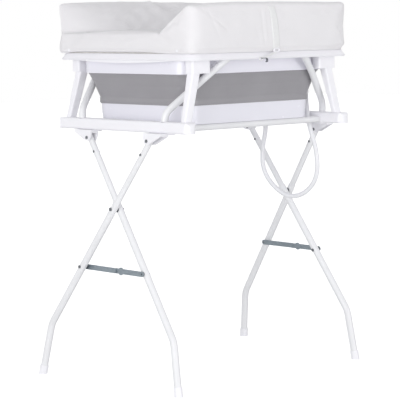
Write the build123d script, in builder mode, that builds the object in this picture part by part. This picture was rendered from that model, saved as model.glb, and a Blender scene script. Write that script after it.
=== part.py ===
from build123d import *
from math import atan, cos, pi, radians, tan
import os

os.makedirs("parts", exist_ok=True)

# A changing table over a folding bathtub, on a frame with two pairs of crossed legs.
# Millimetres. X runs along the long sides, Y across them and Z up, from the floor below the middle.
# "left" is the -X end, where the mat is low. "right" is the +X end, where the head bolster lies.
# The two ends are mirror images, so most places are given for the right end and take a side of +1 or -1.

# Fits that all pieces share
cut_overrun = 5.0
running_gap = 0.08
socket_gap = 0.1
seat_gap = 0.3

# Ring that frames the tub: the pieces around and below it follow its size and height
ring_half_x = 323.0
ring_half_y = 288.0
ring_corner = 45.0
ring_bottom = 913.0
ring_tip_rise = 4.0
ring_thickness = 19.0
ring_top_inset = 12.0
ring_bottom_inset = 3.0
ring_lip_drop = 7.0
ring_lip_end = 83.0
ring_lip_thickness = 12.0
ring_lip_inset = 5.0
ring_band_x = 27.0
ring_band_y = 60.0
ring_tip_z = ring_bottom + ring_tip_rise
ring_top = ring_bottom + ring_thickness
ring_lip_bottom = ring_bottom - ring_lip_drop
ring_lip_half_y = ring_half_y - ring_lip_end
ring_lip_x = ring_half_x - ring_lip_inset

# End beams that the legs hang from
beam_drop = 166.0
beam_height = 32.0
beam_overhang = 9.0
beam_width = 44.0
beam_top_inner_draw = 2.0
beam_top_outer_draw = 3.0
beam_end_inset = 12.0
beam_wall = 3.0
beam_corner_radius = 7.0
beam_cap_length = 22.0
beam_cap_round = 19.0
beam_cap_crown = 13.0
beam_cap_spigot = 15.0
track_inset = 14.0
track_width = 5.0
track_end_inset = 78.0
beam_top = ring_bottom - beam_drop
beam_bottom = beam_top - beam_height
beam_outer_x = ring_half_x + beam_overhang
beam_inner_x = beam_outer_x - beam_width
beam_top_inner_x = beam_inner_x + beam_top_inner_draw
beam_top_outer_x = beam_outer_x - beam_top_outer_draw
beam_half_length = ring_half_y - beam_end_inset
track_x = beam_inner_x + track_inset
track_end_y = beam_half_length - track_end_inset

# Crossed legs: the outer leg of each end leans out more than the inner one
pivot_drop = 23.0
pivot_inset = 141.5
cross_z = 496.0
knee_z = 148.6
knee_radius = 70.0
foot_inset = 12.0
outer_cross_reach = 27.0
outer_foot_reach = 83.0
inner_cross_reach = 4.0
inner_foot_reach = 31.5
upper_tube_diameter = 18.0
upper_tube_wall = 1.2
lower_tube_diameter = 21.0
tube_stub = 8.0
tube_insert = 42.0
collar_rise = 17.0
pivot_z = beam_bottom - pivot_drop
pivot_y = beam_half_length - pivot_inset
foot_y = beam_half_length - foot_inset
outer_cross_x = beam_outer_x + outer_cross_reach
outer_foot_x = beam_outer_x + outer_foot_reach
inner_cross_x = beam_outer_x + inner_cross_reach
inner_foot_x = beam_outer_x + inner_foot_reach

# Foot caps
cap_diameter = 25.0
cap_height = 26.0
foot_sole = 5.0

# Leg fasteners
pin_radius = 3.0
pin_head_radius = 4.6
pin_head_height = 1.8
rivet_radius = 2.0
rivet_head_radius = 3.5
rivet_head_height = 1.4
rivet_drop = 38.5
bolt_radius = 3.0
bolt_head_radius = 5.0
bolt_head_height = 2.2
washer_radius = 8.5
washer_height = 1.0

# Folding strip between the legs of one end
strip_z = 324.0
strip_width = 15.0
strip_sheet = 1.5
strip_gap = 0.15
strip_middle_y = -6.0
strip_stud_y = -41.0
strip_tab_y = -30.0
strip_tab_radius = 11.0
strip_rivet_radius = 3.0
strip_rivet_head_radius = 5.0
strip_rivet_head_height = 1.0
strip_collar_radius = 6.0

# Leg brackets: one is screwed to the beam, the other slides below it
bracket_width = 28.0
bracket_slot = 20.0
bracket_slot_top = 14.0
bracket_inner_reach = 16.0
bracket_outer_reach = 57.0
bracket_shoulder = 15.0
bracket_inner_shoulder = 6.0
bracket_tip_drop = 9.0
bracket_tip_inner = 9.0
bracket_tip_outer = 9.0
bracket_tip_round = 6.0
bracket_plate = 5.0
bracket_plate_inset = 7.0
bracket_plate_width = 40.0
rib_width = 4.0
rib_height = 6.0
bracket_plate_x = beam_inner_x + bracket_plate_inset

# Corner blocks, posts, rails and braces between the ring and the beams
block_height = 35.0
block_inset_x = 35.0
block_inset_y = 31.5
block_length = 69.0
block_width = 31.0
block_corner = 6.0
post_top_inset_x = 6.0
post_top_inset_y = 6.5
post_top_length = 30.0
post_top_width = 25.0
post_foot_inset_x = 15.0
post_foot_length = 28.0
post_foot_width = 18.0
post_corner = 5.0
rail_diameter = 18.0
rail_wall = 1.2
rail_rise = 10.0
rail_inset = 90.0
brace_diameter = 20.0
brace_wall = 1.2
brace_bend_radius = 45.0
brace_foot_inset_x, brace_foot_inset_y = 13.0, 101.0
brace_bend_inset_x, brace_bend_inset_y, brace_bend_rise = 14.0, 98.0, 24.0
brace_turn_inset_x, brace_turn_inset_y, brace_turn_drop = 102.0, 60.0, 52.0
brace_head_inset_x, brace_head_inset_y = 163.0, 33.0
block_bottom = ring_bottom - block_height
block_outer_x = ring_half_x - block_inset_x
block_outer_y = ring_half_y - block_inset_y
post_top_outer_x = block_outer_x - post_top_inset_x
post_top_outer_y = block_outer_y - post_top_inset_y
post_foot_outer_x = beam_outer_x - post_foot_inset_x
post_foot_outer_y = beam_half_length - beam_cap_length
rail_z = beam_bottom + rail_rise
rail_y = beam_half_length - rail_inset
brace_foot_x = beam_outer_x - brace_foot_inset_x
brace_foot_y = beam_half_length - brace_foot_inset_y
brace_bend_x = beam_outer_x - brace_bend_inset_x
brace_bend_y = beam_half_length - brace_bend_inset_y
brace_bend_z = beam_top + brace_bend_rise
brace_turn_x = ring_half_x - brace_turn_inset_x
brace_turn_y = ring_half_y - brace_turn_inset_y
brace_turn_z = ring_bottom - brace_turn_drop
brace_head_x = ring_half_x - brace_head_inset_x
brace_head_y = ring_half_y - brace_head_inset_y

# Tub: stiff rim with a skirt, soft folding wall and stiff base
rim_corner = 56.0
rim_height = 6.0
rim_gap = 1.0
skirt_drop = 38.0
skirt_inset = 6.0
skirt_wall = 3.0
skirt_return = 13.0
skirt_return_height = 4.0
wall_inset_x = 6.0
wall_inset_y = 5.0
wall_top_corner = 50.0
wall_height = 75.0
wall_draw = 22.0
wall_foot_corner = 58.0
wall_thickness = 3.0
bead_height = 13.0
base_draw = 5.0
base_wall = 3.0
base_floor = 4.0
rim_half_x = ring_half_x - ring_band_x
rim_half_y = ring_half_y - ring_band_y
rim_bottom = ring_top - rim_height
skirt_bottom = ring_bottom - skirt_drop
skirt_half_x = rim_half_x - skirt_inset
skirt_half_y = rim_half_y - skirt_inset
skirt_corner = rim_corner - skirt_inset
wall_top_half_x = skirt_half_x - wall_inset_x
wall_top_half_y = skirt_half_y - wall_inset_y
wall_foot_half_x = wall_top_half_x - wall_draw
wall_foot_half_y = wall_top_half_y - wall_draw
wall_foot_z = skirt_bottom - wall_height
bead_bottom = wall_foot_z - bead_height
base_foot_half_x = wall_foot_half_x - base_draw
base_foot_half_y = wall_foot_half_y - base_draw
base_foot_corner = wall_foot_corner - base_draw
base_bottom = rail_z + rail_diameter / 2 + seat_gap

# Drain below the base, with its plug
drain_inset = 35.0
drain_y = -33.0
drain_flange_radius = 22.0
drain_flange_height = 2.5
drain_body_radius = 15.0
drain_throat_radius = 12.0
drain_nut_radius = 20.0
drain_nut_height = 11.0
plug_depth = 8.0
plug_disc_radius = 17.0
plug_disc_height = 4.0
plug_knob_radius = 5.0
plug_knob_height = 9.0
drain_x = base_foot_half_x - drain_inset

# Drain hose, with its loop hanging inside the right pair of legs, and the socket that holds its end.
# Its points are measured from the drain's nozzle as far as the loop, and from the socket after it.
hose_diameter = 14.0
hose_bore = 10.0
hose_nozzle_drop = 1.0
socket_y = -131.0
socket_radius = 10.5
socket_drop = 25.0
run_share = 0.45
hose_exit_z = beam_bottom - hose_nozzle_drop
socket_x = rim_half_x
hose_down = [
    (0.0, 0.0, 0.0),
    (0.0, 0.0, -26.0),
    (-3.3, 11.5, -74.0),
    (-3.1, 11.0, -153.5),
    (15.3, -52.8, -220.0),
]
hose_up = [
    (-40.7, -17.3, -380.5),
    (-26.2, -67.0, -329.0),
    (-25.8, -68.0, -247.0),
    (-28.0, -37.0, -169.0),
    (-23.5, -21.0, -99.0),
    (0.0, 0.0, -53.0),
    (0.0, 0.0, -13.0),
]
hose_points = [(drain_x + x, drain_y + y, hose_exit_z + z) for x, y, z in hose_down]
hose_points += [(socket_x + x, socket_y + y, skirt_bottom + z) for x, y, z in hose_up]

# Mat: stiff board, foam pad and three bolsters under one cover
board_height = 3.2
board_inset_x = 17.0
board_inset_y = 19.0
board_corner = 30.0
mat_inset = 1.0
mat_corner = 40.0
pad_height = 54.5
pad_crown = 5.0
pad_crown_inset = 132.0
pad_side_draw = 4.0
pad_foot_draw = 9.0
pad_seam_height = 6.0
pad_belly_height = 27.0
pad_shoulder_drop = 6.0
bolster_width = 127.0
front_bolster_rise = 82.0
rear_bolster_rise = 88.0
bolster_crest_width = 21.0
bolster_crest_drop = 13.0
bolster_end_drop = 5.0
bolster_end_round = 16.0
bolster_end_inset = 9.0
bolster_slope_bulge = 5.0
crest_corner_share = 0.707
head_width = 110.0
head_rise = 76.0
mat_half_x = ring_half_x - mat_inset
mat_half_y = ring_half_y - mat_inset
board_half_x = mat_half_x - board_inset_x
board_half_y = mat_half_y - board_inset_y
board_bottom = ring_top + seat_gap
mat_bottom = board_bottom + board_height
pad_top = mat_bottom + pad_height
pad_crown_half_y = mat_half_y - pad_crown_inset
bolster_foot_y = mat_half_y - bolster_width
head_foot_x = mat_half_x - head_width

# Strap on the mat's front face, with its ring, elastic and hook, and the studs at the mat's corners
strap_top_x = -11.0
strap_top_rise = 62.0
strap_foot_x = 6.0
strap_foot_rise = 2.5
strap_width = 30.0
strap_sheet = 1.5
ring_loop_width = 24.0
ring_loop_height = 11.0
ring_loop_bar = 2.4
elastic_diameter = 2.4
hook_x = -45.0
hook_inset = 5.0
hook_width = 9.0
hook_sheet = 2.0
hook_drop = 10.0
hook_length = 9.0
stud_radius = 5.0
stud_height = 3.0
stud_inset = 17.0
strap_top_z = pad_top + strap_top_rise
strap_foot_z = mat_bottom + strap_foot_rise

# Worked out from the sizes above
spread = pivot_y / (pivot_z - cross_z)
knee_y = spread * (cross_z - knee_z)
outer_leg = (outer_cross_x, outer_foot_x)
inner_leg = (inner_cross_x, inner_foot_x)
middle_leg = ((outer_cross_x + inner_cross_x) / 2, (outer_foot_x + inner_foot_x) / 2)
end_lean = (middle_leg[1] - middle_leg[0]) / cross_z
lower_tube_bore = upper_tube_diameter + 2 * socket_gap
upper_tube_bore = upper_tube_diameter - 2 * upper_tube_wall
drill_reach = outer_foot_x - inner_foot_x
ends = {"left": -1, "right": 1}
sides = {"front": -1, "rear": 1}


def save(piece, name):
    """Label a finished piece and write it under its own name."""
    piece.part.label = name
    export_step(piece.part, f"parts/{name}.step")


def leg_x(leg, z):
    """Distance of a leg's centre line from the middle at a height."""
    cross_x, foot_x = leg
    return cross_x + (foot_x - cross_x) * (cross_z - z) / cross_z


def leg_layer(leg, z):
    """How far a leg's centre line lies outside the plane that its end folds in."""
    return (leg_x(leg, z) - leg_x(middle_leg, z)) * cos(atan(end_lean))


def end_plane(side, y, z, outward=0):
    """Plane square to the hinge axes of one end: its x runs along Y, its y up the slope."""
    origin = (side * leg_x(middle_leg, z), y, z)
    plane = Plane(origin=origin, x_dir=(0, 1, 0), z_dir=(1, 0, side * end_lean))
    return plane.offset(side * outward)


def disc(plane, radius):
    """Round face on a plane."""
    with BuildSketch(plane) as face:
        Circle(radius)
    return face.sketch


def pin(side, y, z, start, stop, radius):
    """Round pin along the hinge axes of one end, from one layer to another."""
    extrude(disc(end_plane(side, y, z, start), radius), amount=side * (stop - start))


def drill(side, y, z, radius):
    """Round hole along the hinge axes of one end, through the piece in hand."""
    extrude(disc(end_plane(side, y, z), radius), amount=drill_reach, both=True, mode=Mode.SUBTRACT)


def tube_section(route, diameter, bore):
    """Section of a round tube, square to the start of its route."""
    with BuildSketch(Plane(origin=route @ 0, z_dir=route % 0)) as section:
        Circle(diameter / 2)
        Circle(bore / 2, mode=Mode.SUBTRACT)
    return section.sketch


def rounded_plan(z, half_x, half_y, corner):
    """Rounded rectangle about the middle, at a height."""
    with BuildSketch(Plane.XY.offset(z)) as plan:
        RectangleRounded(2 * half_x, 2 * half_y, corner)
    return plan.sketch


# Legs. An outer leg runs from the front at its top to the rear at its foot, an inner one the other way.
def leg_axis(side, leg, way, z):
    """Point on the straight part of a leg's centre line."""
    return (side * leg_x(leg, z), way * spread * (cross_z - z), z)


def shin_axis(side, leg, way, z):
    """Point on a leg's centre line between the knee and the floor."""
    y = foot_y + (knee_y - foot_y) * z / knee_z
    return (side * leg_x(leg, z), way * y, z)


def build_upper_tube(name, side, leg, way):
    with BuildPart() as upper_tube:
        with BuildLine() as route:
            top = leg_axis(side, leg, way, pivot_z + tube_stub)
            Line(top, leg_axis(side, leg, way, cross_z - tube_insert))
        sweep(tube_section(route.line, upper_tube_diameter, upper_tube_bore))
        drill(side, -way * pivot_y, pivot_z, pin_radius + running_gap)
        drill(side, 0, cross_z, bolt_radius + running_gap)
        rivet_z = pivot_z - rivet_drop
        drill(side, way * spread * (cross_z - rivet_z), rivet_z, rivet_radius + socket_gap)
    save(upper_tube, name)


def build_lower_tube(name, side, leg, way):
    with BuildPart() as lower_tube:
        with BuildLine() as route:
            top = leg_axis(side, leg, way, cross_z + collar_rise)
            knee = leg_axis(side, leg, way, knee_z)
            FilletPolyline(top, knee, shin_axis(side, leg, way, foot_sole), radius=knee_radius)
        sweep(tube_section(route.line, lower_tube_diameter, lower_tube_bore))
        drill(side, 0, cross_z, bolt_radius + running_gap)
        drill(side, way * spread * (cross_z - strip_z), strip_z, strip_rivet_radius + socket_gap)
    save(lower_tube, name)


def build_foot_cap(name, side, leg, way):
    """Cap with a flat sole, bored for the tube that it is pushed onto."""
    top = Vector(*shin_axis(side, leg, way, cap_height))
    down = Vector(*shin_axis(side, leg, way, 0)) - top
    with BuildPart() as foot_cap:
        with BuildSketch(Plane(origin=top, z_dir=down)):
            Circle(cap_diameter / 2)
        extrude(amount=down.length + cut_overrun)
        split(bisect_by=Plane.XY, keep=Keep.TOP)
        with BuildSketch(Plane(origin=top, z_dir=down)):
            Circle(lower_tube_diameter / 2 + socket_gap)
        extrude(amount=down.length * (cap_height - foot_sole) / cap_height, mode=Mode.SUBTRACT)
    save(foot_cap, name)


def bracket_pin(side, y, layer):
    """Hinge pin of a leg's top, with a head on each side of its bracket."""
    face = bracket_width / 2 + socket_gap
    head = face + pin_head_height
    pin(side, y, pivot_z, layer - face, layer + face, pin_radius)
    pin(side, y, pivot_z, layer + face, layer + head, pin_head_radius)
    pin(side, y, pivot_z, layer - head, layer - face, pin_head_radius)


def tube_rivet(side, y, z, layer):
    """Rivet through an upper tube, with a head on each side."""
    face = upper_tube_diameter / 2 + seat_gap
    head = face + rivet_head_height
    pin(side, y, z, layer - face, layer + face, rivet_radius)
    pin(side, y, z, layer + face, layer + head, rivet_head_radius)
    pin(side, y, z, layer - head, layer - face, rivet_head_radius)


def build_outer_fasteners(name, side):
    """Top pin, rivet, crossing bolt with its washer, and strip bolt, as separate solids."""
    rivet_z = pivot_z - rivet_drop
    face = lower_tube_diameter / 2 + seat_gap
    strip_y = spread * (cross_z - strip_z)
    strip_layer = leg_layer(outer_leg, strip_z)
    with BuildPart() as outer_fasteners:
        bracket_pin(side, -pivot_y, leg_layer(outer_leg, pivot_z))
        tube_rivet(side, spread * (cross_z - rivet_z), rivet_z, leg_layer(outer_leg, rivet_z))
        outside = leg_layer(outer_leg, cross_z) + face
        inside = leg_layer(inner_leg, cross_z) - face
        pin(side, 0, cross_z, inside, outside, bolt_radius)
        pin(side, 0, cross_z, outside, outside + bolt_head_height, bolt_head_radius)
        pin(side, 0, cross_z, inside - bolt_head_height, inside, bolt_head_radius)
        pin(side, 0, cross_z, -washer_height / 2, washer_height / 2, washer_radius)
        pin(side, strip_y, strip_z, strip_gap, strip_layer + face, strip_rivet_radius)
        collar_start = 2 * strip_gap + strip_sheet
        pin(side, strip_y, strip_z, collar_start, strip_layer - face, strip_collar_radius)
        head_start = strip_layer + face
        pin(side, strip_y, strip_z, head_start, head_start + pin_head_height, pin_head_radius)
    save(outer_fasteners, name)


def build_inner_fasteners(name, side):
    """Top pin, rivet and strip rivet, as separate solids."""
    rivet_z = pivot_z - rivet_drop
    face = lower_tube_diameter / 2 + seat_gap
    strip_y = -spread * (cross_z - strip_z)
    strip_layer = leg_layer(inner_leg, strip_z)
    with BuildPart() as inner_fasteners:
        bracket_pin(side, pivot_y, leg_layer(inner_leg, pivot_z))
        tube_rivet(side, -spread * (cross_z - rivet_z), rivet_z, leg_layer(inner_leg, rivet_z))
        collar_start = -2 * strip_gap - strip_sheet
        pin(side, strip_y, strip_z, strip_layer - face, collar_start, strip_rivet_radius)
        pin(side, strip_y, strip_z, strip_layer + face, collar_start, strip_collar_radius)
        head_start = strip_layer - face
        pin(side, strip_y, strip_z, head_start - pin_head_height, head_start, pin_head_radius)
    save(inner_fasteners, name)


def strip_plate(side, start, stop, layer):
    """Flat link with round ends between two places along Y, in one layer."""
    with BuildSketch(end_plane(side, (start + stop) / 2, strip_z, layer)) as plate:
        SlotCenterToCenter(abs(stop - start), strip_width)
    extrude(plate.sketch, amount=side * strip_sheet)


def build_strip_links(end, side):
    """Two links that hold the legs apart and fold up between them, hinged at the middle rivet."""
    leg_y = spread * (cross_z - strip_z)
    head_face = strip_gap + strip_sheet
    with BuildPart() as outer_link:
        strip_plate(side, strip_middle_y, leg_y, strip_gap)
        drill(side, leg_y, strip_z, strip_rivet_radius + running_gap)
        head = head_face + strip_rivet_head_height
        pin(side, strip_middle_y, strip_z, -head_face, head, strip_rivet_radius)
        pin(side, strip_middle_y, strip_z, head_face, head, strip_rivet_head_radius)
        pin(side, strip_middle_y, strip_z, -head, -head_face, strip_rivet_head_radius)
    save(outer_link, f"{end}_outer_strip_link")
    with BuildPart() as inner_link:
        strip_plate(side, -leg_y, strip_middle_y, -head_face)
        with BuildSketch(end_plane(side, strip_tab_y, strip_z, -head_face)):
            Circle(strip_tab_radius)
        extrude(amount=side * strip_sheet)
        drill(side, strip_middle_y, strip_z, strip_rivet_radius + running_gap)
        drill(side, -leg_y, strip_z, strip_rivet_radius + running_gap)
        head = -head_face - strip_rivet_head_height
        pin(side, strip_stud_y, strip_z, head, -head_face, strip_rivet_head_radius)
    save(inner_link, f"{end}_inner_strip_link")


for end, side in ends.items():
    for leg_name, leg, way in (("outer", outer_leg, 1), ("inner", inner_leg, -1)):
        build_upper_tube(f"{end}_{leg_name}_upper_tube", side, leg, way)
        build_lower_tube(f"{end}_{leg_name}_lower_tube", side, leg, way)
        build_foot_cap(f"{end}_{leg_name}_foot_cap", side, leg, way)
    build_outer_fasteners(f"{end}_outer_fasteners", side)
    build_inner_fasteners(f"{end}_inner_fasteners", side)
    build_strip_links(end, side)


# End beams, with a track below for the sliding bracket, and their rounded caps
def beam_section(side, y, inset):
    """Section of an end beam at a place along it, drawn in by an even inset."""
    with BuildSketch(Plane.XZ.offset(-y)) as section:
        with BuildLine():
            Polyline(
                (side * (beam_inner_x + inset), beam_bottom + inset),
                (side * (beam_outer_x - inset), beam_bottom + inset),
                (side * (beam_top_outer_x - inset), beam_top - inset),
                (side * (beam_top_inner_x + inset), beam_top - inset),
                close=True,
            )
        make_face()
        fillet(section.vertices(), beam_corner_radius - inset)
    return section.sketch


def build_end_beam(name, side):
    with BuildPart() as end_beam:
        extrude(beam_section(side, 0, 0), amount=beam_half_length - beam_cap_length, both=True)
        extrude(beam_section(side, 0, beam_wall), amount=beam_half_length, both=True, mode=Mode.SUBTRACT)
        with BuildSketch(Plane.XY.offset(beam_bottom - cut_overrun)):
            track_start = -pivot_y + bracket_inner_reach
            with Locations((side * track_x, (track_start + track_end_y) / 2)):
                SlotOverall(track_end_y - track_start, track_width, rotation=90)
        extrude(amount=cut_overrun + beam_wall + running_gap, mode=Mode.SUBTRACT)
    save(end_beam, name)


for end, side in ends.items():
    build_end_beam(f"{end}_end_beam", side)

with BuildPart() as beam_end_caps:
    for side in ends.values():
        for across in sides.values():
            joint_y = across * (beam_half_length - beam_cap_length)
            extrude(beam_section(side, joint_y, 0), amount=-across * beam_cap_length)
            spigot = beam_section(side, joint_y, beam_wall + socket_gap)
            extrude(spigot, amount=across * beam_cap_spigot)
    with BuildSketch(Plane.XY.offset(beam_bottom)):
        for side in ends.values():
            with Locations((side * (beam_inner_x + beam_outer_x) / 2, 0)):
                RectangleRounded(beam_outer_x - beam_inner_x, 2 * beam_half_length, beam_cap_round)
    extrude(amount=beam_top - beam_bottom, mode=Mode.INTERSECT)
    with BuildSketch(Plane.YZ):
        with Locations((0, (beam_bottom + beam_top) / 2)):
            Rectangle(2 * beam_half_length, beam_top - beam_bottom)
        fillet(vertices().group_by(Axis.Y)[-1], beam_cap_crown)
    extrude(amount=beam_outer_x + cut_overrun, both=True, mode=Mode.INTERSECT)
save(beam_end_caps, "beam_end_caps")


# Leg brackets: a fork for the leg's top, below a plate that lies under the beam
def build_bracket(name, side, across, leg, top, with_rib):
    layer = leg_layer(leg, pivot_z)
    fork_plane = end_plane(side, across * pivot_y, pivot_z, layer)
    rise = beam_bottom - pivot_z + cut_overrun
    outline = [
        (-bracket_inner_reach, rise),
        (-bracket_inner_reach, bracket_inner_shoulder),
        (-bracket_tip_inner, -bracket_tip_drop),
        (bracket_tip_outer, -bracket_tip_drop),
        (bracket_outer_reach, bracket_shoulder),
        (bracket_outer_reach, rise),
    ]
    reach = bracket_inner_reach + bracket_outer_reach
    middle_y = pivot_y + (bracket_outer_reach - bracket_inner_reach) / 2
    with BuildPart() as bracket:
        with BuildSketch(fork_plane):
            with BuildLine():
                Polyline(*[(across * u, w) for u, w in outline], close=True)
            make_face()
            fillet(vertices().group_by(Axis.Y)[0], bracket_tip_round)
        extrude(amount=bracket_width / 2, both=True)
        split(bisect_by=Plane.XY.offset(top), keep=Keep.BOTTOM)
        with BuildSketch(Plane.XY.offset(top - bracket_plate)):
            with Locations((side * (bracket_plate_x + bracket_plate_width / 2), across * middle_y)):
                Rectangle(bracket_plate_width, reach)
        extrude(amount=bracket_plate)
        with BuildSketch(fork_plane):
            with Locations((0, bracket_slot_top - pivot_y / 2)):
                Rectangle(2 * reach, pivot_y)
        extrude(amount=bracket_slot / 2, both=True, mode=Mode.SUBTRACT)
        drill(side, across * pivot_y, pivot_z, pin_radius + running_gap)
        if with_rib:
            with BuildSketch(Plane.XY.offset(top)):
                with Locations((side * track_x, across * middle_y)):
                    SlotOverall(reach - 2 * rib_width, rib_width, rotation=90)
            extrude(amount=rib_height)
    save(bracket, name)


for end, side in ends.items():
    build_bracket(f"{end}_fixed_bracket", side, -1, outer_leg, beam_bottom, False)
    build_bracket(f"{end}_sliding_bracket", side, 1, inner_leg, beam_bottom - seat_gap, True)


# Ring: its edge slopes out to a low tip, its ends bow down, and a ledge inside carries the tub
with BuildPart() as tub_ring:
    ring_levels = [(ring_bottom, ring_bottom_inset), (ring_tip_z, 0), (ring_top, ring_top_inset)]
    ring_sections = []
    for z, inset in ring_levels:
        ring_sections.append(rounded_plan(z, ring_half_x - inset, ring_half_y - inset, ring_corner - inset))
    loft(ring_sections, ruled=True)
    for side in ends.values():
        with BuildSketch(Plane.YZ.offset(side * (ring_lip_x - ring_lip_thickness / 2))):
            lip_front = (-ring_lip_half_y, ring_bottom)
            lip_rear = (ring_lip_half_y, ring_bottom)
            with BuildLine():
                ThreePointArc(lip_front, (0, ring_lip_bottom), lip_rear)
                Line(lip_rear, lip_front)
            make_face()
        extrude(amount=ring_lip_thickness / 2, both=True)
    ledge_cut = rounded_plan(rim_bottom, rim_half_x + rim_gap, rim_half_y + rim_gap, rim_corner + rim_gap)
    extrude(ledge_cut, amount=rim_height + cut_overrun, mode=Mode.SUBTRACT)
    cut_start = ring_lip_bottom - cut_overrun
    opening_size = (skirt_half_x + rim_gap, skirt_half_y + rim_gap, skirt_corner + rim_gap)
    opening_cut = rounded_plan(cut_start, *opening_size)
    extrude(opening_cut, amount=rim_bottom - cut_start + cut_overrun, mode=Mode.SUBTRACT)
save(tub_ring, "tub_ring")


# Corner blocks, posts and braces, one of each at every corner
def build_corner(end, across_name):
    side = ends[end]
    across = sides[across_name]
    with BuildPart() as corner_block:
        with BuildSketch(Plane.XY.offset(block_bottom)):
            block_x = block_outer_x - block_length / 2
            block_y = block_outer_y - block_width / 2
            with Locations((side * block_x, across * block_y)):
                RectangleRounded(block_length, block_width, block_corner)
        extrude(amount=ring_bottom - block_bottom)
    save(corner_block, f"{across_name}_{end}_corner_block")

    with BuildPart() as post:
        foot_x = post_foot_outer_x - post_foot_length / 2
        foot_centre_y = post_foot_outer_y - post_foot_width / 2
        top_x = post_top_outer_x - post_top_length / 2
        top_y = post_top_outer_y - post_top_width / 2
        with BuildSketch(Plane.XY.offset(beam_top)):
            with Locations((side * foot_x, across * foot_centre_y)):
                RectangleRounded(post_foot_length, post_foot_width, post_corner)
        with BuildSketch(Plane.XY.offset(block_bottom)):
            with Locations((side * top_x, across * top_y)):
                RectangleRounded(post_top_length, post_top_width, post_corner)
        loft(ruled=True)
    save(post, f"{across_name}_{end}_post")

    with BuildPart() as brace:
        foot = Vector(side * brace_foot_x, across * brace_foot_y, beam_top)
        bend = Vector(side * brace_bend_x, across * brace_bend_y, brace_bend_z)
        turn = Vector(side * brace_turn_x, across * brace_turn_y, brace_turn_z)
        head = Vector(side * brace_head_x, across * brace_head_y, ring_bottom)
        below = foot + (foot - bend).normalized() * brace_diameter
        above = head + (head - turn).normalized() * brace_diameter
        with BuildLine() as route:
            FilletPolyline(below, bend, turn, above, radius=brace_bend_radius)
        sweep(tube_section(route.line, brace_diameter, brace_diameter - 2 * brace_wall))
        split(bisect_by=Plane.XY.offset(beam_top), keep=Keep.TOP)
        split(bisect_by=Plane.XY.offset(ring_bottom), keep=Keep.BOTTOM)
    save(brace, f"{across_name}_{end}_brace")


for across_name in sides:
    for end in ends:
        build_corner(end, across_name)

for across_name, across in sides.items():
    with BuildPart() as rail:
        with BuildSketch(Plane.YZ):
            with Locations((across * rail_y, rail_z)):
                Circle(rail_diameter / 2)
                Circle(rail_diameter / 2 - rail_wall, mode=Mode.SUBTRACT)
        extrude(amount=beam_inner_x, both=True)
    save(rail, f"{across_name}_rail")


# Tub rim with its skirt
def skirt_plan(z, inset):
    """Outline of the skirt at a height, drawn in by an even inset."""
    return rounded_plan(z, skirt_half_x - inset, skirt_half_y - inset, skirt_corner - inset)


with BuildPart() as tub_rim:
    extrude(rounded_plan(rim_bottom, rim_half_x, rim_half_y, rim_corner), amount=rim_height)
    extrude(skirt_plan(skirt_bottom, 0), amount=rim_bottom - skirt_bottom)
    hollow_bottom = skirt_bottom + skirt_return_height
    extrude(skirt_plan(hollow_bottom, skirt_wall), amount=ring_top - skirt_bottom, mode=Mode.SUBTRACT)
    return_cut = skirt_plan(skirt_bottom - cut_overrun, skirt_return)
    extrude(return_cut, amount=skirt_return_height + 2 * cut_overrun, mode=Mode.SUBTRACT)
save(tub_rim, "tub_rim")


def wall_sections(inset, top, bottom):
    """Sloping wall of the tub and the upright bead below it, drawn in by an even inset."""
    top_size = (wall_top_half_x - inset, wall_top_half_y - inset, wall_top_corner - inset)
    foot_size = (wall_foot_half_x - inset, wall_foot_half_y - inset, wall_foot_corner - inset)
    levels = [(bottom, *foot_size), (wall_foot_z, *foot_size), (top, *top_size)]
    return [rounded_plan(*level) for level in levels]


with BuildPart() as tub_wall:
    loft(wall_sections(0, skirt_bottom, bead_bottom), ruled=True)
    loft(wall_sections(wall_thickness, skirt_bottom, bead_bottom), ruled=True, mode=Mode.SUBTRACT)
save(tub_wall, "tub_wall")


# Tub base, resting just above the rails, with its drain hole
def base_sections(inset, bottom):
    """Foot and mouth of the base, drawn in by an even inset."""
    foot_size = (base_foot_half_x - inset, base_foot_half_y - inset, base_foot_corner - inset)
    mouth_size = (wall_foot_half_x - inset, wall_foot_half_y - inset, wall_foot_corner - inset)
    return [rounded_plan(bottom, *foot_size), rounded_plan(bead_bottom, *mouth_size)]


with BuildPart() as tub_base:
    loft(base_sections(0, base_bottom), ruled=True)
    loft(base_sections(base_wall, base_bottom + base_floor), ruled=True, mode=Mode.SUBTRACT)
    with BuildSketch(Plane.XY.offset(base_bottom - cut_overrun)):
        with Locations((drain_x, drain_y)):
            Circle(drain_body_radius + socket_gap)
    extrude(amount=base_floor + 2 * cut_overrun, mode=Mode.SUBTRACT)
save(tub_base, "tub_base")


# Drain, plug and hose
def turned_profile(points):
    """Face between an outline and the drain's axis, given by radius and height."""
    with BuildSketch(Plane.XZ.offset(-drain_y)) as profile:
        with BuildLine():
            Polyline(*[(drain_x + radius, height) for radius, height in points], close=True)
        make_face()
    return profile.sketch


floor_top = base_bottom + base_floor
nut_bottom = base_bottom - drain_nut_height
nozzle_radius = hose_diameter / 2
drain_axis = Axis((drain_x, drain_y, 0), (0, 0, 1))

with BuildPart() as drain_fitting:
    fitting_profile = turned_profile([
        (drain_throat_radius, floor_top + drain_flange_height),
        (drain_flange_radius, floor_top + drain_flange_height),
        (drain_flange_radius, floor_top),
        (drain_body_radius, floor_top),
        (drain_body_radius, base_bottom),
        (drain_nut_radius, base_bottom),
        (drain_nut_radius, nut_bottom),
        (nozzle_radius, hose_exit_z),
        (hose_bore / 2, hose_exit_z),
        (hose_bore / 2, nut_bottom),
        (drain_throat_radius, floor_top - plug_depth),
    ])
    revolve(fitting_profile, axis=drain_axis)
save(drain_fitting, "drain_fitting")

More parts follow.
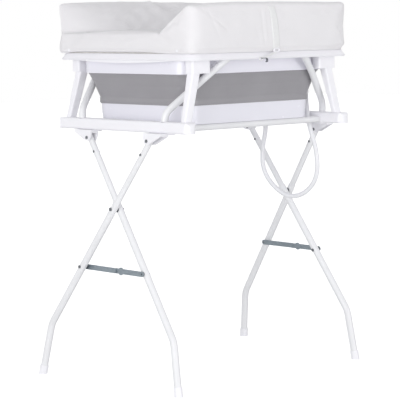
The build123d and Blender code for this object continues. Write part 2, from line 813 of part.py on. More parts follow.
with BuildPart() as drain_plug:
    plug_seat = floor_top + drain_flange_height + socket_gap
    plug_radius = drain_throat_radius - socket_gap
    plug_profile = turned_profile([
        (0, plug_seat + plug_disc_height + plug_knob_height),
        (plug_knob_radius, plug_seat + plug_disc_height + plug_knob_height),
        (plug_knob_radius, plug_seat + plug_disc_height),
        (plug_disc_radius, plug_seat + plug_disc_height),
        (plug_disc_radius, plug_seat),
        (plug_radius, plug_seat),
        (plug_radius, floor_top - plug_depth + socket_gap),
        (0, floor_top - plug_depth + socket_gap),
    ])
    revolve(plug_profile, axis=drain_axis)
save(drain_plug, "drain_plug")


def corner_radii(points, share):
    """Radius at each corner of a route: as large as the shorter run beside it allows."""
    radii = []
    for before, here, after in zip(points, points[1:], points[2:]):
        first = Vector(*here) - Vector(*before)
        second = Vector(*after) - Vector(*here)
        half_turn = radians(first.get_angle(second)) / 2
        radii.append(share * min(first.length, second.length) / tan(half_turn))
    return radii


hose_radii = corner_radii(hose_points, run_share)
with BuildPart() as drain_hose:
    with BuildLine() as hose_route:
        FilletPolyline(*hose_points, radius=hose_radii)
    sweep(tube_section(hose_route.line, hose_diameter, hose_bore))
save(drain_hose, "drain_hose")
hose_section = pi * (hose_diameter ** 2 - hose_bore ** 2) / 4
hose_length = sum(edge.length for edge in hose_route.line.edges())
print("hose radii", [round(radius, 1) for radius in hose_radii])
print("hose length", round(hose_length, 1))
volume_ratio = drain_hose.part.volume / (hose_section * hose_length)
print("hose volume over section times length", round(volume_ratio, 4))

with BuildPart() as hose_socket:
    with BuildSketch(Plane.XY.offset(skirt_bottom)):
        with Locations((socket_x, socket_y)):
            Circle(socket_radius)
    extrude(amount=-socket_drop)
    with BuildSketch(Plane.XY.offset(hose_points[-1][2])):
        with Locations((socket_x, socket_y)):
            Circle(hose_diameter / 2 + socket_gap)
    extrude(amount=-socket_drop, mode=Mode.SUBTRACT)
save(hose_socket, "hose_socket")

# Mat board and pad
with BuildPart() as mat_board:
    extrude(rounded_plan(board_bottom, board_half_x, board_half_y, board_corner), amount=board_height)
save(mat_board, "mat_board")

with BuildPart() as mat_pad:
    pad_levels = [
        (mat_bottom, pad_foot_draw),
        (mat_bottom + pad_seam_height, pad_side_draw),
        (mat_bottom + pad_belly_height, 0),
        (pad_top - pad_shoulder_drop, pad_side_draw / 2),
        (pad_top, pad_side_draw),
    ]
    pad_sections = []
    for z, draw in pad_levels:
        pad_sections.append(rounded_plan(z, mat_half_x - draw, mat_half_y - draw, mat_corner - draw))
    loft(pad_sections, ruled=True)
    crown_end_x = mat_half_x - mat_corner / 2
    with BuildSketch(Plane.YZ.offset(-crown_end_x)):
        crown_front = (-pad_crown_half_y, pad_top)
        crown_rear = (pad_crown_half_y, pad_top)
        with BuildLine():
            ThreePointArc(crown_front, (0, pad_top + pad_crown), crown_rear)
            Line(crown_rear, crown_front)
        make_face()
    extrude(amount=crown_end_x + head_foot_x - mat_corner)
save(mat_pad, "mat_pad")


def bolster_profile(plane, foot, edge, rise):
    """Wedge section of a bolster: sloping inner face, rounded crest and upright outer face."""
    crest = edge - bolster_crest_width
    top = pad_top + rise
    slope = Vector(crest - foot, rise)
    bulge = Vector(-slope.Y, slope.X).normalized() * bolster_slope_bulge
    middle = Vector((foot + crest) / 2, pad_top + rise / 2) + bulge
    corner_x = crest + bolster_crest_width * crest_corner_share
    corner_z = top - bolster_crest_drop * (1 - crest_corner_share)
    with BuildSketch(plane) as profile:
        with BuildLine():
            ThreePointArc((foot, pad_top), (middle.X, middle.Y), (crest, top))
            ThreePointArc((crest, top), (corner_x, corner_z), (edge, top - bolster_crest_drop))
            Line((edge, top - bolster_crest_drop), (edge - pad_side_draw, pad_top))
            Line((edge - pad_side_draw, pad_top), (foot, pad_top))
        make_face()
    return profile.sketch


def bolster_stations(half_length, rise, foot):
    """Places, rises, inner feet and edge insets of a bolster's sections, with drawn-in ends."""
    shoulder = half_length - bolster_end_round
    end_rise = rise - bolster_end_drop
    tip_rise = end_rise - bolster_end_inset
    tip = (tip_rise, foot + bolster_end_inset, pad_side_draw)
    full = (end_rise, foot, 0)
    return [
        (-half_length, *tip),
        (-shoulder, *full),
        (0, rise, foot, 0),
        (shoulder, *full),
        (half_length, *tip),
    ]


side_bolsters = {}
for across_name, across in sides.items():
    sections = []
    side_rise = rear_bolster_rise if across_name == "rear" else front_bolster_rise
    stations = bolster_stations(mat_half_x - pad_side_draw, side_rise, bolster_foot_y)
    for station_x, rise, foot, inset in stations:
        section_plane = Plane(origin=(station_x, 0, 0), x_dir=(0, across, 0), z_dir=(across, 0, 0))
        sections.append(bolster_profile(section_plane, foot, mat_half_y - inset, rise))
    with BuildPart() as side_bolster:
        loft(sections, ruled=True)
    save(side_bolster, f"{across_name}_bolster")
    side_bolsters[across_name] = side_bolster.part

head_sections = []
for station_y, rise, foot, inset in bolster_stations(mat_half_y - pad_side_draw, head_rise, head_foot_x):
    head_sections.append(bolster_profile(Plane.XZ.offset(-station_y), foot, mat_half_x - inset, rise))
with BuildPart() as head_bolster:
    loft(head_sections, ruled=True)
    for side_part in side_bolsters.values():
        add(side_part, mode=Mode.SUBTRACT)
save(head_bolster, "head_bolster")

# Strap, ring, elastic, hook and studs
strap_y = mat_half_y + seat_gap
with BuildPart() as mat_strap:
    with BuildSketch(Plane.XZ.offset(strap_y)):
        with BuildLine():
            Polyline(
                (strap_top_x - strap_width / 2, strap_top_z),
                (strap_top_x + strap_width / 2, strap_top_z),
                (strap_foot_x + strap_width / 2, strap_foot_z),
                (strap_foot_x - strap_width / 2, strap_foot_z),
                close=True,
            )
        make_face()
    extrude(amount=strap_sheet)
save(mat_strap, "mat_strap")

with BuildPart() as strap_ring:
    with BuildSketch(Plane.XZ.offset(strap_y)):
        with Locations((strap_foot_x, strap_foot_z - ring_loop_height / 2)):
            hole_width = ring_loop_width - 2 * ring_loop_bar
            hole_height = ring_loop_height - 2 * ring_loop_bar
            Rectangle(ring_loop_width, ring_loop_height)
            Rectangle(hole_width, hole_height, mode=Mode.SUBTRACT)
    extrude(amount=ring_loop_bar)
save(strap_ring, "strap_ring")

with BuildPart() as strap_elastic:
    elastic_y = -strap_y - ring_loop_bar / 2
    hook_y = -ring_half_y - hook_sheet
    elastic_top = Vector(strap_foot_x, elastic_y, strap_foot_z - ring_loop_height)
    elastic_foot = Vector(hook_x + hook_width / 2 + seat_gap, hook_y, ring_bottom - hook_sheet)
    elastic_run = elastic_foot - elastic_top
    with BuildSketch(Plane(origin=elastic_top, z_dir=elastic_run)):
        Circle(elastic_diameter / 2)
    extrude(amount=elastic_run.length)
    split(bisect_by=Plane.XY.offset(elastic_top.Z - seat_gap), keep=Keep.BOTTOM)
save(strap_elastic, "strap_elastic")

with BuildPart() as strap_hook:
    with BuildSketch(Plane.YZ.offset(hook_x)):
        with BuildLine():
            outer_y = -ring_half_y - elastic_diameter
            inner_y = -ring_half_y + hook_inset + hook_length
            foot_z = ring_bottom - hook_drop
            Polyline(
                (outer_y, foot_z + hook_length),
                (outer_y - hook_sheet, foot_z + hook_length),
                (outer_y - hook_sheet, foot_z),
                (inner_y, foot_z),
                (inner_y, ring_bottom),
                (inner_y - hook_sheet, ring_bottom),
                (inner_y - hook_sheet, foot_z + hook_sheet),
                (outer_y, foot_z + hook_sheet),
                close=True,
            )
        make_face()
    extrude(amount=hook_width / 2, both=True)
save(strap_hook, "strap_hook")

with BuildPart() as mat_studs:
    stud_z = mat_bottom + pad_seam_height
    bulge_part = stud_radius / (pad_belly_height - pad_seam_height)
    stud_x = mat_half_x - pad_side_draw * (1 - bulge_part) + seat_gap
    for side in ends.values():
        for across in sides.values():
            stud_y = across * (mat_half_y - mat_corner - stud_inset)
            with BuildSketch(Plane.YZ.offset(side * stud_x)):
                with Locations((stud_y, stud_z)):
                    Circle(stud_radius)
            extrude(amount=side * stud_height)
save(mat_studs, "mat_studs")
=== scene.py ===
from math import cos, pi, sin, sqrt

import bmesh
import bpy
import numpy as np
from mathutils import Matrix, Vector, noise
from mathutils.bvhtree import BVHTree


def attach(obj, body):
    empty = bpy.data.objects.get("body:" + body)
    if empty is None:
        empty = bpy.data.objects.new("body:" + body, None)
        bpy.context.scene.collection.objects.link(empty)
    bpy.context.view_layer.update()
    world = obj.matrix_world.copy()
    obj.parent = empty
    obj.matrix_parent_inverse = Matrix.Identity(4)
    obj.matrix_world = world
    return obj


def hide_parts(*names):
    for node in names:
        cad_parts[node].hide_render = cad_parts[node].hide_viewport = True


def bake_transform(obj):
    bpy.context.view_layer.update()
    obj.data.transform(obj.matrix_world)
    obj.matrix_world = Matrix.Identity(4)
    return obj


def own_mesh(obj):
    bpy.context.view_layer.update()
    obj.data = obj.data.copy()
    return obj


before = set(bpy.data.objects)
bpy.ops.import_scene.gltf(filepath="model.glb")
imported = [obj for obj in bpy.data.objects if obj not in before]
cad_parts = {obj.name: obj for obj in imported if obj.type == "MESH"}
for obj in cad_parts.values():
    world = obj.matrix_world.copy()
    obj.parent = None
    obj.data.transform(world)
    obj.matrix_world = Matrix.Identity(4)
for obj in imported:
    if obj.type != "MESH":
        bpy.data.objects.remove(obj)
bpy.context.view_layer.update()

# A changing table over a folding bathtub. Metres. X runs along the long sides, Y across them, Z up.
# "left" is the -X end, where the mat is low. "right" is the +X end, where the head bolster lies.
scene = bpy.context.scene
ends = {"left": -1, "right": 1}
sides = {"front": -1, "rear": 1}

# Camera, level with the mat and far off, so that the long lens shows little perspective.
camera_place = (-3.5385, -3.7105, 1.0249)
camera_yaw, camera_pitch, camera_roll = 0.7606, -0.1031, -0.0130
camera_lens = 157.2
camera_shift_x = -0.0098
camera_reach = 40

forward = Vector((
    sin(camera_yaw) * cos(camera_pitch), cos(camera_yaw) * cos(camera_pitch), sin(camera_pitch),
))
level_right = Vector((cos(camera_yaw), -sin(camera_yaw), 0))
level_up = level_right.cross(forward)
right = level_right * cos(camera_roll) + level_up * sin(camera_roll)
up = level_up * cos(camera_roll) - level_right * sin(camera_roll)
camera_data = bpy.data.cameras.new("camera")
camera_data.lens = camera_lens
camera_data.shift_x = camera_shift_x
camera_data.clip_end = camera_reach
camera = bpy.data.objects.new("camera", camera_data)
camera.matrix_world = Matrix.Translation(camera_place) @ Matrix((right, up, -forward)).transposed().to_4x4()
scene.collection.objects.link(camera)
scene.camera = camera

# Materials. A mottled tone goes from dark to light between these values of its noise.
low_stop, high_stop = 0.3, 0.7


class Surface:
    """A node material: a shader that colour, roughness and bump nodes are linked to."""

    def __init__(self, name, roughness, metallic=0.0, specular=0.5, coat=0.0, sheen=0.0):
        self.material = bpy.data.materials.new(name)
        self.material.use_nodes = True
        self.tree = self.material.node_tree
        self.tree.nodes.clear()
        self.shader = self.add("BsdfPrincipled")
        self.output = self.add("OutputMaterial")
        self.link(self.shader.outputs["BSDF"], self.output.inputs["Surface"])
        self.shader.inputs["Roughness"].default_value = roughness
        self.shader.inputs["Metallic"].default_value = metallic
        self.shader.inputs["Specular IOR Level"].default_value = specular
        self.shader.inputs["Coat Weight"].default_value = coat
        self.shader.inputs["Sheen Weight"].default_value = sheen
        self.place = self.add("TexCoord").outputs["Object"]
        self.normal = None

    def link(self, source, target):
        self.tree.links.new(source, target)

    def add(self, kind, settings=None, **inputs):
        """Add a node. Its inputs are linked where a socket is given and set where a value is."""
        made = self.tree.nodes.new("ShaderNode" + kind)
        for key, value in (settings or {}).items():
            setattr(made, key, value)
        for key, value in inputs.items():
            socket = made.inputs[key.replace("_", " ")]
            if isinstance(value, bpy.types.NodeSocket):
                self.link(value, socket)
            else:
                socket.default_value = value
        return made

    def stretched(self, x, y, z):
        """Object coordinates scaled differently along each axis."""
        return self.add("Mapping", Vector=self.place, Scale=(x, y, z)).outputs["Vector"]

    def noise(self, scale, detail=3.0, place=None):
        made = self.add("TexNoise", Vector=place or self.place, Scale=scale, Detail=detail)
        return made.outputs["Fac"]

    def waves(self, scales, distortion):
        """Sum of bands across several axes, from a scale for each axis."""
        result = None
        for direction, scale in scales.items():
            made = self.add(
                "TexWave", {"wave_type": "BANDS", "bands_direction": direction},
                Vector=self.place, Scale=scale, Distortion=distortion,
            )
            if result is None:
                result = made.outputs["Fac"]
            else:
                both = self.add("Math", {"operation": "ADD"})
                self.link(result, both.inputs[0])
                self.link(made.outputs["Fac"], both.inputs[1])
                result = both.outputs[0]
        return result

    def color(self, factor, stops):
        """Colour by a factor, from stops of place and colour."""
        ramp = self.add("ValToRGB", Fac=factor)
        elements = ramp.color_ramp.elements
        for element, (position, rgb) in zip(elements, stops):
            element.position = position
            element.color = (*rgb, 1.0)
        self.link(ramp.outputs["Color"], self.shader.inputs["Base Color"])

    def mottle(self, rgb, change, scale):
        """Base colour with a slight, slow change of tone."""
        low = tuple(part * (1 - change) for part in rgb)
        high = tuple(min(part * (1 + change), 1.0) for part in rgb)
        self.color(self.noise(scale), [(low_stop, low), (high_stop, high)])

    def roughness(self, factor, low, high):
        made = self.add("MapRange", Value=factor, To_Min=low, To_Max=high)
        self.link(made.outputs["Result"], self.shader.inputs["Roughness"])

    def bump(self, height, distance, strength=1.0):
        """Relief of a real depth, on top of any bump added before."""
        made = self.add("Bump", Height=height, Distance=distance, Strength=strength)
        if self.normal:
            self.link(self.normal, made.inputs["Normal"])
        self.normal = made.outputs["Normal"]
        self.link(self.normal, self.shader.inputs["Normal"])


def linear(code):
    """Linear colour from a hex code of the display's colour."""
    toe_end, toe_slope, offset, power = 0.04045, 12.92, 0.055, 2.4
    parts = [int(code[start:start + 2], 16) / 255 for start in (0, 2, 4)]
    return tuple(
        part / toe_slope if part <= toe_end else ((part + offset) / (1 + offset)) ** power for part in parts
    )


materials = {}


def make_finish(slot_name, name, tone, change, patches, rough=None, bumps=(), **base):
    """A material with a mottled tone, uneven roughness and layers of noise relief.

    rough holds the noise's scale and detail, then the least and the most roughness.
    bumps holds, for each layer, the noise's scale and detail, then a depth in metres and a strength.
    """
    surface = Surface(name, **base)
    surface.mottle(linear(tone), change, patches)
    if rough:
        scale, detail, low, high = rough
        surface.roughness(surface.noise(scale, detail), low, high)
    for scale, detail, depth, strength in bumps:
        surface.bump(surface.noise(scale, detail), depth, strength)
    materials[slot_name] = surface.material
    return surface


make_finish(
    "white_paint", "powder_coat", tone="f0f0f2", change=0.015, patches=14, rough=(60, 3, 0.28, 0.42),
    bumps=[(620, 2, 0.00012, 1.0), (2400, 1, 0.00003, 1.0)], roughness=0.34, coat=0.15,
)
make_finish(
    "white_plastic", "moulded_plastic", tone="f9f8fc", change=0.012, patches=9, rough=(35, 3, 0.36, 0.5),
    bumps=[(1500, 2, 0.00008, 1.0), (22, 2, 0.0004, 0.25)], roughness=0.42,
)
make_finish(
    "tub_white", "tub_plastic", tone="f0eff7", change=0.01, patches=7, rough=(48, 5, 0.16, 0.32),
    bumps=[(16, 2, 0.0006, 0.3), (1800, 1, 0.00003, 1.0)], roughness=0.24, coat=0.2,
)
make_finish(
    "grey_rubber", "soft_wall", tone="9d9b9f", change=0.03, patches=12, rough=(80, 3, 0.28, 0.44),
    bumps=[(1300, 2, 0.0001, 1.0), (26, 2, 0.0006, 0.35)], roughness=0.36, coat=0.15,
)

# brushed strip, with its grain along Y
strip = Surface("strip_steel", roughness=0.36, metallic=0.85)
strip_tones = [(0.25, linear("8c969e")), (0.75, linear("a3adb4"))]
strip_rough_low, strip_rough_high, strip_grain_depth = 0.3, 0.5, 0.00004
strip.color(strip.noise(60, 4, strip.stretched(6, 1, 6)), strip_tones)
strip.roughness(strip.noise(300, 3, strip.stretched(4, 0.2, 4)), strip_rough_low, strip_rough_high)
strip.bump(strip.noise(900, 2, strip.stretched(3, 0.05, 3)), strip_grain_depth)
materials["strip_steel"] = strip.material

make_finish(
    "dark_steel", "fastener_steel", tone="7c7f84", change=0.1, patches=140, rough=(400, 3, 0.25, 0.45),
    bumps=[(1600, 2, 0.00004, 1.0)], roughness=0.32, metallic=0.9,
)

# woven cover and webbing
cover = make_finish(
    "mat_cover", "mat_cloth", tone="f5f3f5", change=0.012, patches=11, rough=(90, 3, 0.64, 0.8),
    roughness=0.72, specular=0.25, sheen=0.25,
)
cover_weave, cover_weave_bend, cover_weave_depth = {"X": 330, "Y": 330, "Z": 330}, 0.4, 0.00012
crumple_scale, crumple_detail, crumple_depth, crumple_strength = 70, 4, 0.0007, 0.5
cover.bump(cover.waves(cover_weave, cover_weave_bend), cover_weave_depth)
cover.bump(cover.noise(crumple_scale, crumple_detail), crumple_depth, crumple_strength)
webbing = make_finish(
    "strap_web", "strap_webbing", tone="fafafa", change=0.015, patches=160,
    roughness=0.7, specular=0.25, sheen=0.2,
)
web_weave, web_weave_bend, web_weave_depth = {"Z": 240, "X": 420}, 0.2, 0.00018
webbing.bump(webbing.waves(web_weave, web_weave_bend), web_weave_depth)

make_finish(
    "hose_pvc", "hose_vinyl", tone="eeeef1", change=0.015, patches=40, rough=(120, 3, 0.26, 0.4),
    bumps=[(90, 2, 0.0003, 0.4)], roughness=0.32, coat=0.2,
)
make_finish(
    "board", "mat_board", tone="dedcd8", change=0.04, patches=60,
    bumps=[(500, 4, 0.0002, 1.0)], roughness=0.66,
)


def dress(piece, slot_name):
    """Give a piece its material slot's finish."""
    piece.data.materials.clear()
    piece.data.materials.append(materials[slot_name])
    return piece


# Mesh helpers.
def new_piece(name, vertices, faces):
    mesh = bpy.data.meshes.new(name)
    mesh.from_pydata([tuple(vertex) for vertex in vertices], [], faces)
    mesh.validate()
    work = bmesh.new()
    work.from_mesh(mesh)
    bmesh.ops.recalc_face_normals(work, faces=work.faces)
    work.to_mesh(mesh)
    work.free()
    mesh.polygons.foreach_set("use_smooth", [True] * len(mesh.polygons))
    piece = bpy.data.objects.new(name, mesh)
    scene.collection.objects.link(piece)
    return piece


def loft(rings, wrap=False, cap=False):
    """Vertices and faces of a skin through closed rings with the same number of points."""
    count = len(rings[0])
    vertices = [point for ring in rings for point in ring]
    faces = []
    pairs = list(zip(range(len(rings) - 1), range(1, len(rings))))
    if wrap:
        pairs.append((len(rings) - 1, 0))
    for low, high in pairs:
        for index in range(count):
            following = (index + 1) % count
            faces.append((
                low * count + index, low * count + following, high * count + following, high * count + index,
            ))
    if cap:
        faces.append(tuple(reversed(range(count))))
        faces.append(tuple((len(rings) - 1) * count + index for index in range(count)))
    return vertices, faces


def circle(middle, first, second, radius, steps):
    """Points of a circle round a middle, in the plane of two directions."""
    turns = [2 * pi * step / steps for step in range(steps)]
    return [middle + (first * cos(turn) + second * sin(turn)) * radius for turn in turns]


def rounded_ring(half_x, half_y, corner, z, corner_steps, side_steps):
    """Points round a rounded rectangle at a height."""
    points = []
    for sign_x, sign_y, quarter in [(1, 1, 0), (-1, 1, 1), (-1, -1, 2), (1, -1, 3)]:
        centre = (sign_x * (half_x - corner), sign_y * (half_y - corner))
        for step in range(corner_steps + 1):
            turn = (quarter + step / corner_steps) * pi / 2
            points.append(Vector((centre[0] + corner * cos(turn), centre[1] + corner * sin(turn), z)))
        if quarter % 2:
            run = Vector((0, -2 * (half_y - corner), 0)) * (1 if quarter == 1 else -1)
        else:
            run = Vector((-2 * (half_x - corner), 0, 0)) * (1 if quarter == 0 else -1)
        start = points[-1].copy()
        for step in range(1, side_steps):
            points.append(start + run * step / side_steps)
    return points


def tube_rings(path, radius, steps):
    """Rings square to a path, turned as little as possible from one to the next."""
    rings = []
    tangents = []
    for index in range(len(path)):
        before, after = path[max(index - 1, 0)], path[min(index + 1, len(path) - 1)]
        tangents.append((after - before).normalized())
    across = tangents[0].orthogonal().normalized()
    for place, tangent in zip(path, tangents):
        across = (across - tangent * across.dot(tangent)).normalized()
        rings.append(circle(place, across, tangent.cross(across), radius, steps))
    return rings


# Drain hose.
hose_radius = 0.007
hose_round_steps = 24
hose_curve_steps = 14
hose_points = [
    (0.222, -0.033, 0.714),
    (0.222, -0.033, 0.688),
    (0.2187, -0.0215, 0.640),
    (0.2189, -0.022, 0.5605),
    (0.2373, -0.0858, 0.494),
    (0.2553, -0.1483, 0.4945),
    (0.2698, -0.198, 0.546),
    (0.2702, -0.199, 0.628),
    (0.268, -0.168, 0.706),
    (0.2725, -0.152, 0.776),
    (0.296, -0.131, 0.822),
    (0.296, -0.131, 0.862),
]
hose_line = bpy.data.curves.new("hose_line", "CURVE")
hose_line.dimensions = "3D"
hose_spline = hose_line.splines.new("NURBS")
hose_spline.points.add(len(hose_points) - 1)
for spline_point, place in zip(hose_spline.points, hose_points):
    spline_point.co = (*place, 1.0)
hose_spline.order_u = 3
hose_spline.use_endpoint_u = True
hose_line.resolution_u = hose_curve_steps
hose_guide = bpy.data.objects.new("hose_guide", hose_line)
scene.collection.objects.link(hose_guide)
bpy.context.view_layer.update()
guide_mesh = bpy.data.meshes.new_from_object(hose_guide)
hose_path = [vertex.co.copy() for vertex in guide_mesh.vertices]
bpy.data.objects.remove(hose_guide)
bpy.data.meshes.remove(guide_mesh)

hose_rings = tube_rings(hose_path, hose_radius, hose_round_steps)
hose = dress(new_piece("hose", *loft(hose_rings, cap=True)), "hose_pvc")
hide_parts("drain_hose")
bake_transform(hose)

# Finishes of the solids that stay as they are.
cad_finish = {
    "beam_end_caps": "white_plastic", "tub_ring": "white_plastic", "tub_rim": "tub_white",
    "tub_base": "tub_white", "drain_fitting": "white_plastic", "drain_plug": "grey_rubber",
    "hose_socket": "white_plastic", "mat_board": "board",
    "front_rail": "white_paint", "rear_rail": "white_paint",
}
for end in ends:
    for across_name in sides:
        cad_finish[f"{across_name}_{end}_corner_block"] = "white_plastic"
        cad_finish[f"{across_name}_{end}_post"] = "white_plastic"
        cad_finish[f"{across_name}_{end}_brace"] = "white_paint"
    for part in ("end_beam", "fixed_bracket", "sliding_bracket"):
        cad_finish[f"{end}_{part}"] = "white_plastic"
    for leg in ("outer", "inner"):
        cad_finish[f"{end}_{leg}_upper_tube"] = "white_paint"
        cad_finish[f"{end}_{leg}_lower_tube"] = "white_paint"
        cad_finish[f"{end}_{leg}_foot_cap"] = "white_plastic"
        cad_finish[f"{end}_{leg}_fasteners"] = "dark_steel"
        cad_finish[f"{end}_{leg}_strip_link"] = "strip_steel"
for node_name, finish in cad_finish.items():
    node = bpy.data.objects[node_name]
    if node.material_slots:
        for material_slot in node.material_slots:
            material_slot.material = materials[finish]
    else:
        node.data.materials.append(materials[finish])

# Folding wall of the tub: a sheet that leans inwards, with one fold line and a bead at its foot.
wall_sheet = 0.003
wall_corner_steps, wall_side_steps = 16, 24
wall_top_half_x, wall_foot_half_x = 0.284, 0.262
wall_top_half_y, wall_foot_half_y = 0.217, 0.195
wall_top_corner, wall_foot_corner = 0.050, 0.058
# height, share of the way down the slope, offset outwards
wall_profile = [
    (0.8750, 0.000, 0.0000), (0.8742, 0.000, 0.0007), (0.8725, 0.010, 0.0010), (0.8705, 0.045, 0.0006),
    (0.8690, 0.080, 0.0000), (0.8600, 0.200, -0.0002), (0.8500, 0.333, -0.0006), (0.8420, 0.440, -0.0010),
    (0.8395, 0.473, -0.0014), (0.8375, 0.500, -0.0010), (0.8280, 0.627, -0.0004), (0.8160, 0.787, 0.0000),
    (0.8080, 0.893, 0.0000), (0.8048, 0.936, 0.0004), (0.8030, 0.960, 0.0022), (0.8008, 0.990, 0.0036),
    (0.7980, 1.000, 0.0042), (0.7905, 1.000, 0.0040), (0.7882, 1.000, 0.0030), (0.7870, 1.000, 0.0008),
]


def between(first, last, share):
    return first + (last - first) * share


def wall_ring(height, share, offset):
    half_x = between(wall_top_half_x, wall_foot_half_x, share) + offset
    half_y = between(wall_top_half_y, wall_foot_half_y, share) + offset
    corner = between(wall_top_corner, wall_foot_corner, share) + offset
    return rounded_ring(half_x, half_y, corner, height, wall_corner_steps, wall_side_steps)


wall_outside = [wall_ring(*level) for level in wall_profile]
wall_inside = [
    wall_ring(height, share, offset - wall_sheet) for height, share, offset in reversed(wall_profile)
]
folding_wall = dress(new_piece("folding_wall", *loft(wall_outside + wall_inside, wrap=True)), "grey_rubber")
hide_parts("tub_wall")
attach(folding_wall, "tub")
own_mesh(folding_wall)

# Mat cover: plan, levels and the lines of its bolsters.
# The two smallest numbers keep a sign or a division from meeting zero.
small, smallest = 1e-6, 1e-9
mat_bottom = 0.9355
mat_half_x, mat_half_y = 0.322, 0.287
# radius of each corner, by the signs of its X and Y
mat_corners = {(-1, -1): 0.028, (1, -1): 0.040, (1, 1): 0.030, (-1, 1): 0.026}
pad_top = 0.990
pad_crown = 0.005
pad_fade_to_head, pad_fade_to_end = 0.08, 0.05
seam_z = 0.9415
side_foot_y, side_crest_y = 0.156, 0.266
head_foot_x, head_crest_x = 0.212, 0.300
side_swell, head_swell = 0.035, 0.05
# crests: places along X, or along Y for the head's, and their heights
front_crest = ([-0.322, -0.300, -0.237, -0.120, 0.000, 0.203, 0.293, 0.322],
               [1.0625, 1.0655, 1.0725, 1.0755, 1.0763, 1.0750, 1.0725, 1.0700])
rear_crest = ([-0.322, -0.300, -0.200, -0.056, 0.000, 0.100, 0.203, 0.293, 0.322],
              [1.0812, 1.0826, 1.0834, 1.0838, 1.0838, 1.0824, 1.0805, 1.0765, 1.0730])
head_crest = ([-0.287, -0.200, 0.000, 0.200, 0.287], [1.0675, 1.0718, 1.0742, 1.0755, 1.0730])
# the rear bolster turns outwards towards its low end
turn_length, turn_power = 0.180, 1.6
foot_turn, crest_turn = 0.108, 0.014
# the rear crest's sag and the bump beside it: rise, place and reach along X, place and reach along Y
crest_marks = [(-0.019, 0.080, 0.034, 0.246, 0.015), (0.0035, 0.028, 0.013, 0.258, 0.022)]
# rounding of the upper edge: at the low end, what the sides add, and what the front head corner takes off
round_reach, round_reach_sides, round_reach_head = 0.0065, 0.0145, 0.0080
round_drop, round_drop_sides, round_drop_head = 0.0060, 0.0080, 0.0050
round_share_range = (0.15, 0.85)
head_corner_x, head_corner_y = (0.24, 0.31), (0.20, 0.27)


def smooth_step(value, low, high):
    share = np.clip((value - low) / (high - low), 0, 1)
    return share * share * (3 - 2 * share)


def gauss(value, width):
    return np.exp(-(value / width) ** 2)


def corner_radius(x, y):
    """Radius of the mat's plan corner in the quarter that each point lies in."""
    radius = np.zeros_like(x)
    for (sign_x, sign_y), size in mat_corners.items():
        quarter = (np.sign(x + smallest) == sign_x) & (np.sign(y + smallest) == sign_y)
        radius = np.where(quarter, size, radius)
    return radius


def edge_distance(x, y):
    """Distance inside the mat's rounded outline."""
    radius = corner_radius(x, y)
    over_x = np.abs(x) - (mat_half_x - radius)
    over_y = np.abs(y) - (mat_half_y - radius)
    outside = np.hypot(np.maximum(over_x, 0), np.maximum(over_y, 0))
    return radius - outside - np.minimum(np.maximum(over_x, over_y), 0)


def bolster_lines(x, y):
    """Foot and crest lines of the side bolsters; the rear one turns outwards at its low end."""
    turn = np.clip(1 - (x + mat_half_x) / turn_length, 0, 1) ** turn_power * (y > 0)
    return side_foot_y + foot_turn * turn, side_crest_y + crest_turn * turn


def mat_height(x, y):
    """Height of the mat's upper side: a pad between two side bolsters and a head bolster."""
    foot, top_line = bolster_lines(x, y)
    ramp = np.clip((np.abs(y) - foot) / (top_line - foot), 0, 1)
    ramp = ramp + side_swell * np.sin(pi * ramp)
    crest = np.where(y < 0, np.interp(x, *front_crest), np.interp(x, *rear_crest))
    beside = (crest - pad_top) * ramp
    ramp = np.clip((x - head_foot_x) / (head_crest_x - head_foot_x), 0, 1)
    ramp = ramp + head_swell * np.sin(pi * ramp)
    behind = (np.interp(y, *head_crest) - pad_top) * ramp
    pad = pad_crown * np.clip(1 - (y / side_foot_y) ** 2, 0, 1)
    pad = pad * smooth_step(-x, -head_foot_x, -head_foot_x + pad_fade_to_head)
    pad *= smooth_step(x, -mat_half_x, -mat_half_x + pad_fade_to_end)
    height = pad_top + np.maximum(np.maximum(beside, behind), pad)
    for rise, mark_x, reach_x, mark_y, reach_y in crest_marks:
        height += rise * gauss(x - mark_x, reach_x) * gauss(y - mark_y, reach_y)
    from_end = x + mat_half_x
    from_side = mat_half_y - np.abs(y)
    share = smooth_step(from_end / (from_end + from_side + small), *round_share_range)
    head_corner = smooth_step(x, *head_corner_x) * smooth_step(-y, *head_corner_y)
    reach = round_reach + round_reach_sides * share - round_reach_head * head_corner
    drop = round_drop + round_drop_sides * share - round_drop_head * head_corner
    part = np.clip(1 - edge_distance(x, y) / reach, 0, 1)
    return height - drop * (1 - np.sqrt(1 - part ** 2))


# Grid over the mat's plan. Its lines lie closer together near both edges.
near_edge = [0, 0.0007, 0.0024, 0.0050, 0.0085, 0.0128, 0.0180, 0.0240]
grid_spacing = 0.0064
# share of the way to the edge up to which the grid's lines stay straight
straight_share = 0.6


def grid_places(half):
    """Places from one edge to the other."""
    middle = half - near_edge[-1]
    steps = int(round(2 * middle / grid_spacing))
    inner = np.linspace(-middle, middle, steps + 1)
    first = [-half + step for step in near_edge[:-1]]
    return np.concatenate([first, inner, [half - step for step in near_edge[-2::-1]]])


